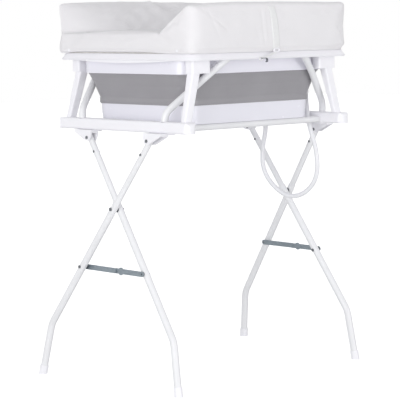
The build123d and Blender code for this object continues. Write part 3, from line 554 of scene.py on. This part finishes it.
def plan_places(xs, ys):
    """Grid over the mat's plan, with its outer lines bent round the corners."""
    x, y = np.meshgrid(xs, ys, indexing="ij")
    u, v = x / mat_half_x, y / mat_half_y
    reach = np.maximum(np.abs(u), np.abs(v))
    safe = np.maximum(reach, small)
    rim_x, rim_y = u / safe * mat_half_x, v / safe * mat_half_y
    radius = corner_radius(rim_x, rim_y)
    over_x = np.maximum(np.abs(rim_x) - (mat_half_x - radius), 0)
    over_y = np.maximum(np.abs(rim_y) - (mat_half_y - radius), 0)
    length = np.maximum(np.hypot(over_x, over_y), smallest)
    corner = (over_x > 0) & (over_y > 0)
    rim_x = np.where(corner, np.sign(rim_x) * (mat_half_x - radius + over_x / length * radius), rim_x)
    rim_y = np.where(corner, np.sign(rim_y) * (mat_half_y - radius + over_y / length * radius), rim_y)
    blend = smooth_step(reach, straight_share, 1.0)
    return x + (rim_x * reach - x) * blend, y + (rim_y * reach - y) * blend


# Outer side of the mat. Its lower edge stands off the ring along the middle of the low end.
hem_end_x, hem_front_y, hem_rear_y = (0.28, 0.32), (-0.20, -0.08), (0.19, 0.27)
hem_reach_down, hem_stand_off = 0.0032, 0.0050
hem_inset_cut, hem_inset_z = 0.6, (0.9385, 0.9600)
wall_foot_level = 0.9370
# heights, and how far the side is drawn in at each
side_profile = ([0.9355, 0.9385, 0.9415, 0.948, 0.960, 0.985, 1.000, 1.020, 1.045, 1.080],
                [0.0080, 0.0030, 0.0012, 0.0004, 0.0, 0.0012, 0.0020, 0.0014, 0.0004, 0.0])
# rear corner of the low end: drawn in at a waist, and swelling out below and above it
rear_left_reach = 0.09
waist_depth, waist_z, waist_width = 0.0050, 0.998, 0.016
belly_depth, belly_z, belly_width = 0.0030, 0.955, 0.014
shoulder_depth, shoulder_z = 0.0026, (1.02, 1.05)
# front corner of the head end: drawn in along its lowest edge
front_right_reach, front_right_depth, front_right_z = 0.05, 0.013, (0.9375, 0.9455)
under_inset = 0.006
under_edge_range = (0.004, 0.012)
side_rows = 20


def hem_lift(x, y):
    """Share by which the cover's lower edge stands off the ring."""
    return smooth_step(-x, *hem_end_x) * smooth_step(y, *hem_front_y) * (1 - smooth_step(y, *hem_rear_y))


def skirt_drop(x, y):
    """How far the cover's lower edge reaches below the mat's underside."""
    return hem_reach_down - hem_stand_off * hem_lift(x, y)


def wall_inset(x, y, z):
    """How far the mat's outer side is drawn in at a height."""
    inset = np.interp(z, *side_profile)
    inset *= 1 - hem_inset_cut * (1 - hem_lift(x, y)) * (1 - smooth_step(z, *hem_inset_z))
    rear_left = gauss(np.hypot(x + mat_half_x, y - mat_half_y), rear_left_reach)
    waist = waist_depth * gauss(z - waist_z, waist_width)
    belly = belly_depth * gauss(z - belly_z, belly_width)
    shoulder = shoulder_depth * smooth_step(z, *shoulder_z)
    inset = inset + rear_left * (waist - belly - shoulder)
    front_right = gauss(np.hypot(x - mat_half_x, y + mat_half_y), front_right_reach)
    return inset + front_right * front_right_depth * (1 - smooth_step(z, *front_right_z))


grid_x = grid_places(mat_half_x)
grid_y = grid_places(mat_half_y)
plan_x, plan_y = plan_places(grid_x, grid_y)
top = np.stack([plan_x, plan_y, mat_height(plan_x, plan_y)], axis=-1)
under_edge = 1 - smooth_step(edge_distance(plan_x, plan_y), *under_edge_range)
underside = np.stack([
    plan_x * (1 - under_inset / mat_half_x), plan_y * (1 - under_inset / mat_half_y),
    mat_bottom - skirt_drop(plan_x, plan_y) * under_edge,
], axis=-1)
count_x, count_y = len(grid_x), len(grid_y)
border = [(i, 0) for i in range(count_x - 1)] + [(count_x - 1, j) for j in range(count_y - 1)]
border += [(i, count_y - 1) for i in range(count_x - 1, 0, -1)] + [(0, j) for j in range(count_y - 1, 0, -1)]

mat_vertices = [tuple(place) for place in top.reshape(-1, 3)]
first_under = len(mat_vertices)
mat_vertices += [tuple(place) for place in underside.reshape(-1, 3)]
mat_faces = []
for i in range(count_x - 1):
    for j in range(count_y - 1):
        corners = [i * count_y + j, (i + 1) * count_y + j, (i + 1) * count_y + j + 1, i * count_y + j + 1]
        mat_faces.append(tuple(corners))
        mat_faces.append(tuple(first_under + corner for corner in reversed(corners)))


def join_rings(first, second):
    """Faces between two rings of the mat's border."""
    for index in range(len(border)):
        following = (index + 1) % len(border)
        mat_faces.append((first[index], second[index], second[following], first[following]))


# side of the mat, ring by ring from the top edge to the underside
edge = np.array([top[i, j] for i, j in border])
outward = np.roll(edge, -1, axis=0)[:, :2] - np.roll(edge, 1, axis=0)[:, :2]
outward = np.stack([outward[:, 1], -outward[:, 0]], axis=1)
outward /= np.linalg.norm(outward, axis=1)[:, None]
previous = [i * count_y + j for i, j in border]
edge_inset = wall_inset(edge[:, 0], edge[:, 1], edge[:, 2])
wall_foot_z = wall_foot_level - skirt_drop(edge[:, 0], edge[:, 1])
for step in range(1, side_rows + 1):
    share = step / side_rows
    heights = edge[:, 2] + (wall_foot_z - edge[:, 2]) * share
    inset = wall_inset(edge[:, 0], edge[:, 1], heights) - edge_inset * (1 - share)
    ring_start = len(mat_vertices)
    for place, normal, depth, height in zip(edge, outward, inset, heights):
        mat_vertices.append((place[0] - normal[0] * depth, place[1] - normal[1] * depth, height))
    ring = list(range(ring_start, ring_start + len(border)))
    join_rings(previous, ring)
    previous = ring
join_rings(previous, [first_under + i * count_y + j for i, j in border])


def apply_modifiers(piece):
    """Replace the mesh of a piece by what its modifiers make of it."""
    bpy.context.view_layer.update()
    made = bpy.data.meshes.new_from_object(piece.evaluated_get(bpy.context.evaluated_depsgraph_get()))
    piece.modifiers.clear()
    old = piece.data
    piece.data = made
    bpy.data.meshes.remove(old)


def read_vectors(mesh, kind):
    """Places or normals of a mesh's vertices, one row each."""
    values = np.empty(len(mesh.vertices) * 3)
    mesh.vertices.foreach_get(kind, values)
    return values.reshape(-1, 3)


def write_places(mesh, places):
    mesh.vertices.foreach_set("co", places.ravel())
    mesh.update()


# Puffing of the cover.
cloth_settings = {
    "quality": 5, "mass": 0.3, "tension_stiffness": 15, "compression_stiffness": 15, "shear_stiffness": 5,
    "bending_stiffness": 0.4, "use_pressure": True, "uniform_pressure_force": 4.0,
}
puff_frames = 20
puff_cap = 0.0035
# the cover is held from the seam down, and less firmly along the foot lines of the bolsters
hold_below_seam = 0.002
foot_hold, foot_hold_width, foot_hold_beyond, foot_hold_below = 0.8, 0.004, 0.02, 0.002


def inflate(piece, pinned):
    """Puff a closed cover as cloth under pressure, and keep each point within a cap of where it was."""
    before = read_vectors(piece.data, "co")
    group = piece.vertex_groups.new(name="pinned")
    for index in np.nonzero(pinned > 0)[0]:
        group.add([int(index)], float(pinned[index]), "REPLACE")
    cloth = piece.modifiers.new("cloth", "CLOTH")
    for key, value in cloth_settings.items():
        setattr(cloth.settings, key, value)
    cloth.settings.effector_weights.gravity = 0
    cloth.settings.vertex_group_mass = "pinned"
    cloth.collision_settings.use_collision = False
    cloth.point_cache.frame_start = 1
    cloth.point_cache.frame_end = puff_frames
    scene.frame_start, scene.frame_end = 1, puff_frames
    for step in range(1, puff_frames + 1):
        scene.frame_set(step)
    made = piece.evaluated_get(bpy.context.evaluated_depsgraph_get()).to_mesh()
    moved = read_vectors(made, "co") - before
    piece.modifiers.remove(cloth)
    piece.vertex_groups.remove(group)
    scene.frame_set(1)
    length = np.maximum(np.linalg.norm(moved, axis=1), smallest)
    kept = puff_cap * np.tanh(length / puff_cap) / length
    write_places(piece.data, before + moved * kept[:, None])


mat = new_piece("mat", mat_vertices, mat_faces)
x, y, z = read_vectors(mat.data, "co").T
held = np.clip((seam_z - z) / hold_below_seam, 0, 1)
on_foot = gauss(np.abs(y) - side_foot_y, foot_hold_width) * (x < head_foot_x + foot_hold_beyond)
on_foot += gauss(x - head_foot_x, foot_hold_width) * (np.abs(y) < side_foot_y)
held = np.maximum(held, foot_hold * np.clip(on_foot, 0, 1) * (z > pad_top - foot_hold_below))
inflate(mat, held)
finer = mat.modifiers.new("finer", "SUBSURF")
finer.levels = 1
finer.render_levels = 1
apply_modifiers(mat)


def ripple(x, y, z, scales, seed):
    """Smooth uneven height from -1 to 1 at each place, stretched by a scale along each axis."""
    return np.array([
        noise.noise(Vector((a * scales[0], b * scales[1], c * scales[2] + seed))) for a, b, c in zip(x, y, z)
    ])


def crease(x, z, start, stop, width, soft):
    """Depth share of a crease along a line between two places of X and Z."""
    run = (stop[0] - start[0], stop[1] - start[1])
    length = sqrt(run[0] ** 2 + run[1] ** 2)
    along = ((x - start[0]) * run[0] + (z - start[1]) * run[1]) / length
    across = ((x - start[0]) * run[1] - (z - start[1]) * run[0]) / length
    ends_share = smooth_step(along, -soft, soft) * (1 - smooth_step(along, length - soft, length + soft))
    return gauss(across, width) * ends_share


# Relief of the cover. Each unevenness: height, scales along the axes, seed.
broad_wave = (0.0011, (11, 11, 14), 3.0)
small_wave = (0.0006, (30, 30, 26), 9.0)
pucker = (0.0008, (62, 62, 10), 21.0)
rear_streak = (0.0046, (16, 6, 60), 5.0)
front_streak = (0.0010, (16, 6, 50), 8.0)
# seam and puckers: gone at the first distance inside the outline, full at the second, none above edge_top
edge_fade = (0.006, 0.001)
edge_top = 1.062
under_margin = 0.004
pucker_rise = 0.020
seam_depth, seam_width = 0.0013, 0.0016
foot_crease_depth, foot_crease_width = 0.0034, 0.0055
rear_streak_x, rear_streak_reach = -0.06, 0.24
rear_slant_x, rear_slant_z = 0.9, -0.35
front_slant_x, front_slant_z = -0.8, 0.3
# fold below the sagging crest: height, place and reach along X, place and reach along Y
rear_puff = (0.0070, 0.032, 0.026, 0.228, 0.024)
# creases of the front face: height, from (x, z), to (x, z), width, softness of the ends
front_face_y, front_face_z = -0.27, 1.064
front_creases = [
    (-0.0016, (-0.287, 1.060), (-0.184, 0.995), 0.0045, 0.012),
    (-0.0010, (-0.262, 1.058), (-0.215, 0.975), 0.0050, 0.012),
    (0.0010, (-0.272, 1.056), (-0.196, 0.990), 0.0060, 0.012),
    (-0.0009, (-0.052, 1.050), (-0.040, 0.955), 0.0040, 0.012),
    (0.0008, (-0.040, 1.052), (-0.030, 0.960), 0.0045, 0.012),
    (-0.0008, (-0.075, 1.010), (-0.055, 0.945), 0.0045, 0.012),
    (-0.0008, (0.300, 0.948), (0.255, 0.985), 0.0050, 0.012),
]
# lip and valley of the sagging rear crest, in the same order of values
crest_zone_y, crest_zone_z = (0.222, 0.280), 1.030
crest_creases = [
    (-0.0032, (0.034, 1.0790), (0.078, 1.0600), 0.0042, 0.006),
    (0.0022, (0.030, 1.0700), (0.072, 1.0510), 0.0060, 0.008),
    (-0.0028, (0.078, 1.0600), (0.128, 1.0680), 0.0042, 0.006),
]

places = read_vectors(mat.data, "co")
normals = read_vectors(mat.data, "normal")
x, y, z = places.T
outer = smooth_step(mat_half_y - np.abs(y), *edge_fade) + smooth_step(mat_half_x - np.abs(x), *edge_fade)
outer = np.clip(outer, 0, 1) * (z < edge_top)
above = z > mat_bottom + under_margin
lift = np.zeros_like(x)
for height, scales, seed in (broad_wave, small_wave):
    lift += height * ripple(x, y, z, scales, seed) * above
# puckers that rise from the seam, and the seam's own line
height, scales, seed = pucker
lift += height * ripple(x, y, z, scales, seed) * outer * gauss(np.maximum(z - seam_z, 0), pucker_rise) * above
lift -= seam_depth * gauss(z - seam_z, seam_width) * outer
front_face = (y < front_face_y) & (z < front_face_z)
crest_zone = (y > crest_zone_y[0]) & (y < crest_zone_y[1]) & (z > crest_zone_z)
for zone, creases in ((front_face, front_creases), (crest_zone, crest_creases)):
    for height, start, stop, width, soft in creases:
        lift += height * crease(x, z, start, stop, width, soft) * zone
# folds of the rear bolster's inner face, which run down from the sagging crest
inner_face = (y > side_foot_y) & (y < side_crest_y) & (x < head_foot_x) & (z > pad_top)
height, scales, seed = rear_streak
streaks = ripple(x + rear_slant_x * z, y, z + rear_slant_z * x, scales, seed)
lift += height * streaks * inner_face * gauss(x - rear_streak_x, rear_streak_reach)
height, mark_x, reach_x, mark_y, reach_y = rear_puff
lift += height * gauss(x - mark_x, reach_x) * gauss(y - mark_y, reach_y) * inner_face
from_foot = np.hypot(np.abs(y) - bolster_lines(x, y)[0], z - pad_top)
lift -= foot_crease_depth * gauss(from_foot, foot_crease_width) * (x < head_foot_x) * above
front_inner = (y < -side_foot_y) & (y > -side_crest_y) & (x < head_foot_x)
height, scales, seed = front_streak
lift += height * ripple(x + front_slant_x * z, y, z + front_slant_z * x, scales, seed) * front_inner
write_places(mat.data, places + normals * lift[:, None])
mat.data.polygons.foreach_set("use_smooth", [True] * len(mat.data.polygons))
dress(mat, "mat_cover")
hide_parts("mat_pad", "front_bolster", "rear_bolster", "head_bolster")
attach(mat, "mat")

bpy.context.view_layer.update()
mat_tree = BVHTree.FromPolygons(
    [vertex.co for vertex in mat.data.vertices], [tuple(face.vertices) for face in mat.data.polygons]
)
# rays towards the cover start this far from the middle
well_outside = 0.5


def on_mat(place, direction):
    """Point where a ray from outside meets the mat cover."""
    return mat_tree.ray_cast(Vector(place), Vector(direction).normalized())[0]


# Strap down the mat's front face.
strap_sheet = 0.0015
strap_half_width = 0.0125
strap_top_z = 1.0600
strap_foot_x, strap_foot_z = 0.0045, 0.9380
strap_lean, strap_bend, strap_bend_power = -0.0035, -0.0135, 4
strap_rows = 48
strap_columns = 12
strap_smoothings = 6
strap_gap = 0.0003
strap_edge_from, strap_edge_thinning = 0.85, 0.55


def strap_point(along, across):
    """Point of the strap on the mat's front face, by its share of the length and width."""
    z = strap_top_z + (strap_foot_z - strap_top_z) * along
    x = strap_foot_x + strap_lean * (1 - along) + strap_bend * (1 - along) ** strap_bend_power
    x += across * strap_half_width
    return Vector((x, on_mat((x, -well_outside, z), (0, 1, 0)).y, z))


strap_grid = [
    [strap_point(row / strap_rows, 2 * column / strap_columns - 1) for column in range(strap_columns + 1)]
    for row in range(strap_rows + 1)
]
# the webbing is stiffer than the cover: it bridges small dips and follows a smoothed line
front = np.array([[place.y for place in line] for line in strap_grid])
smooth_front = front.copy()
for _ in range(strap_smoothings):
    padded_front = np.pad(smooth_front, 1, mode="edge")
    smooth_front = (
        padded_front[1:-1, 1:-1] * 2 + padded_front[:-2, 1:-1] + padded_front[2:, 1:-1]
        + padded_front[1:-1, :-2] + padded_front[1:-1, 2:]
    ) / 6
smooth_front = np.minimum(smooth_front, front) - strap_gap
strap_rings = []
for row in range(strap_rows + 1):
    inner_line, outer_line = [], []
    for column in range(strap_columns + 1):
        place = strap_grid[row][column]
        across = abs(2 * column / strap_columns - 1)
        thinning = strap_edge_thinning * max(across - strap_edge_from, 0) / (1 - strap_edge_from)
        thickness = strap_sheet * (1 - thinning)
        inner_line.append(Vector((place.x, smooth_front[row][column], place.z)))
        outer_line.append(Vector((place.x, smooth_front[row][column] - thickness, place.z)))
    strap_rings.append(outer_line + inner_line[::-1])
strap = dress(new_piece("strap", *loft(strap_rings, cap=True)), "strap_web")
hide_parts("mat_strap")
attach(strap, "mat")

# Ring, elastic and hook below the strap.
small_steps = 12
loop_corner_steps = 6
ring_bar = 0.0021
ring_half_width, ring_half_height, ring_corner = 0.0100, 0.0042, 0.0026
ring_stand_off, ring_z = 0.0052, 0.9365
ring_middle = Vector((strap_foot_x, float(smooth_front[-1].mean()) - ring_stand_off, ring_z))
y_axis = Vector((0, 1, 0))


def closed_tube(name, middle, half_width, half_height, corner, radius):
    """Tube round a flat rounded loop that faces along Y."""
    path = []
    for sign_x, sign_z, quarter in [(1, 1, 0), (-1, 1, 1), (-1, -1, 2), (1, -1, 3)]:
        for step in range(loop_corner_steps + 1):
            turn = (quarter + step / loop_corner_steps) * pi / 2
            path.append(middle + Vector((
                sign_x * (half_width - corner) + corner * cos(turn), 0,
                sign_z * (half_height - corner) + corner * sin(turn),
            )))
    rings = []
    for index, place in enumerate(path):
        tangent = (path[(index + 1) % len(path)] - path[index - 1]).normalized()
        rings.append(circle(place, y_axis.cross(tangent), y_axis, radius, small_steps))
    return new_piece(name, *loft(rings, wrap=True))


ring = closed_tube("ring", ring_middle, ring_half_width, ring_half_height, ring_corner, ring_bar)
dress(ring, "white_plastic")
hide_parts("strap_ring")
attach(ring, "mat")

elastic_radius = 0.0011
elastic_parting, elastic_parting_z = 0.0012, 0.8
elastic_sag = 0.0015
elastic_steps = 16
elastic_top = ring_middle + Vector((0, 0, -ring_half_height))
elastic_foot = Vector((-0.0530, -0.2930, 0.9156))
for number, shift in enumerate((-elastic_parting, elastic_parting)):
    elastic_path = []
    for step in range(elastic_steps + 1):
        share = step / elastic_steps
        place = elastic_top.lerp(elastic_foot, share)
        place.z -= elastic_sag * sin(pi * share) + shift * elastic_parting_z
        place.x += shift
        elastic_path.append(place)
    elastic_rings = tube_rings(elastic_path, elastic_radius, small_steps)
    elastic = dress(new_piece(f"elastic_{number}", *loft(elastic_rings, cap=True)), "strap_web")
    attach(elastic, "mat")
    if number == 0:
        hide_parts("strap_elastic")

# bent flat bar of the hook, as places along X and Z
hook_line = [
    (-0.0540, 0.9150), (-0.0430, 0.9154), (-0.0375, 0.9150), (-0.0348, 0.9136), (-0.0338, 0.9108),
    (-0.0338, 0.9068), (-0.0346, 0.9050), (-0.0365, 0.9044), (-0.0382, 0.9050),
]
hook_y = -0.2912
hook_half_depth, hook_half_sheet = 0.0034, 0.0009
hook_round_steps = 16
hook_squareness = 0.5
hook_rings = []
for index, (x, z) in enumerate(hook_line):
    before = hook_line[max(index - 1, 0)]
    after = hook_line[min(index + 1, len(hook_line) - 1)]
    run = Vector((after[0] - before[0], 0, after[1] - before[1])).normalized()
    out = run.cross(y_axis)
    ring_points = []
    for step in range(hook_round_steps):
        turn = 2 * pi * step / hook_round_steps
        wide = hook_half_depth * abs(cos(turn)) ** hook_squareness * (1 if cos(turn) >= 0 else -1)
        deep = hook_half_sheet * abs(sin(turn)) ** hook_squareness * (1 if sin(turn) >= 0 else -1)
        ring_points.append(Vector((x, hook_y + wide, z)) + out * deep)
    hook_rings.append(ring_points)
hook = dress(new_piece("hook", *loft(hook_rings, cap=True)), "dark_steel")
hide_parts("strap_hook")
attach(hook, "mat")

# loop of elastic that holds the hook's eye
eye_middle = Vector((-0.0575, hook_y, 0.9138))
eye_half_width, eye_half_height, eye_corner, eye_radius = 0.0062, 0.0040, 0.0036, 0.0012
eye_loop = closed_tube("elastic_loop", eye_middle, eye_half_width, eye_half_height, eye_corner, eye_radius)
dress(eye_loop, "strap_web")
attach(eye_loop, "mat")

# Domed studs at the mat's corners.
stud_y, stud_z = 0.230, 0.9415
stud_steps = 24
stud_sunk = 0.0004
# radius and height over the cover, from the foot of the dome to its top
stud_profile = [
    (0.0050, 0.0), (0.0052, 0.0006), (0.0049, 0.0013), (0.0040, 0.0021), (0.0026, 0.0027), (0.0010, 0.0030),
]
stud_vertices, stud_faces = [], []
for side in ends.values():
    for across in sides.values():
        hit = on_mat((side * well_outside, across * stud_y, stud_z), (-side, 0, 0))
        rings = [
            circle(Vector((hit.x + side * (height - stud_sunk), across * stud_y, stud_z)),
                   y_axis, Vector((0, 0, 1)), radius, stud_steps)
            for radius, height in stud_profile
        ]
        vertices, faces = loft(rings, cap=True)
        base = len(stud_vertices)
        stud_vertices += vertices
        stud_faces += [tuple(base + index for index in face) for face in faces]
studs = dress(new_piece("studs", stud_vertices, stud_faces), "white_plastic")
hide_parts("mat_studs")
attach(studs, "mat")

# Pale floor. It takes shadows, and a glow lifts it to the background's white for the camera alone.
floor_half = 14
floor_tone, floor_glow = (0.80, 0.80, 0.80), 0.55
floor_tone_change, floor_tone_patches = 0.005, 3
floor_grain, floor_grain_detail, floor_grain_depth, floor_grain_strength = 180, 2, 0.0001, 0.3
floor = new_piece("floor", [(-floor_half, -floor_half, 0), (floor_half, -floor_half, 0),
                            (floor_half, floor_half, 0), (-floor_half, floor_half, 0)], [(0, 1, 2, 3)])
ground = Surface("pale_floor", roughness=0.3, specular=0.4)
ground.mottle(floor_tone, floor_tone_change, floor_tone_patches)
ground.bump(ground.noise(floor_grain, floor_grain_detail), floor_grain_depth, floor_grain_strength)
glow = ground.add("Emission", Color=(1, 1, 1, 1), Strength=floor_glow)
both = ground.add("AddShader")
ground.link(ground.shader.outputs[0], both.inputs[0])
ground.link(glow.outputs[0], both.inputs[1])
choice = ground.add("MixShader")
ground.link(ground.add("LightPath").outputs["Is Camera Ray"], choice.inputs[0])
ground.link(ground.shader.outputs[0], choice.inputs[1])
ground.link(both.outputs[0], choice.inputs[2])
ground.link(choice.outputs[0], ground.output.inputs["Surface"])
floor.data.materials.append(ground.material)

# World: a soft fill for the surfaces, and white where it is seen, mirrored or looked at through something.
fill_color, fill_strength = (0.97, 0.98, 1.0, 1), 0.62
world = bpy.data.worlds.new("studio")
world.use_nodes = True
sky = world.node_tree
sky.nodes.clear()
sky_output = sky.nodes.new("ShaderNodeOutputWorld")
fill_light = sky.nodes.new("ShaderNodeBackground")
fill_light.inputs["Color"].default_value = fill_color
fill_light.inputs["Strength"].default_value = fill_strength
seen_white = sky.nodes.new("ShaderNodeBackground")
seen_white.inputs["Color"].default_value = (1, 1, 1, 1)
seen_white.inputs["Strength"].default_value = 1.0
sky_path = sky.nodes.new("ShaderNodeLightPath")
seen = sky_path.outputs["Is Camera Ray"]
for ray in ("Is Glossy Ray", "Is Transmission Ray"):
    larger = sky.nodes.new("ShaderNodeMath")
    larger.operation = "MAXIMUM"
    sky.links.new(seen, larger.inputs[0])
    sky.links.new(sky_path.outputs[ray], larger.inputs[1])
    seen = larger.outputs[0]
sky_choice = sky.nodes.new("ShaderNodeMixShader")
sky.links.new(seen, sky_choice.inputs[0])
sky.links.new(fill_light.outputs[0], sky_choice.inputs[1])
sky.links.new(seen_white.outputs[0], sky_choice.inputs[2])
sky.links.new(sky_choice.outputs[0], sky_output.inputs["Surface"])
scene.world = world

# Lamps: name, place, target, size and power.
lamps = [
    ("key", (-4.6, -1.5, 1.0), (0, 0, 0.7), 2.8, 86),
    ("side", (0.6, -4.7, 1.0), (0, 0, 0.7), 2.8, 54),
    ("top", (-0.6, -0.6, 3.6), (0, 0, 0.9), 2.6, 1.5),
]
for name, place, target, size, power in lamps:
    data = bpy.data.lights.new(name, "AREA")
    data.shape = "DISK"
    data.size = size
    data.energy = power
    made = bpy.data.objects.new(name, data)
    made.location = place
    made.rotation_euler = (Vector(target) - Vector(place)).to_track_quat("-Z", "Y").to_euler()
    scene.collection.objects.link(made)

scene.view_settings.view_transform = "Standard"
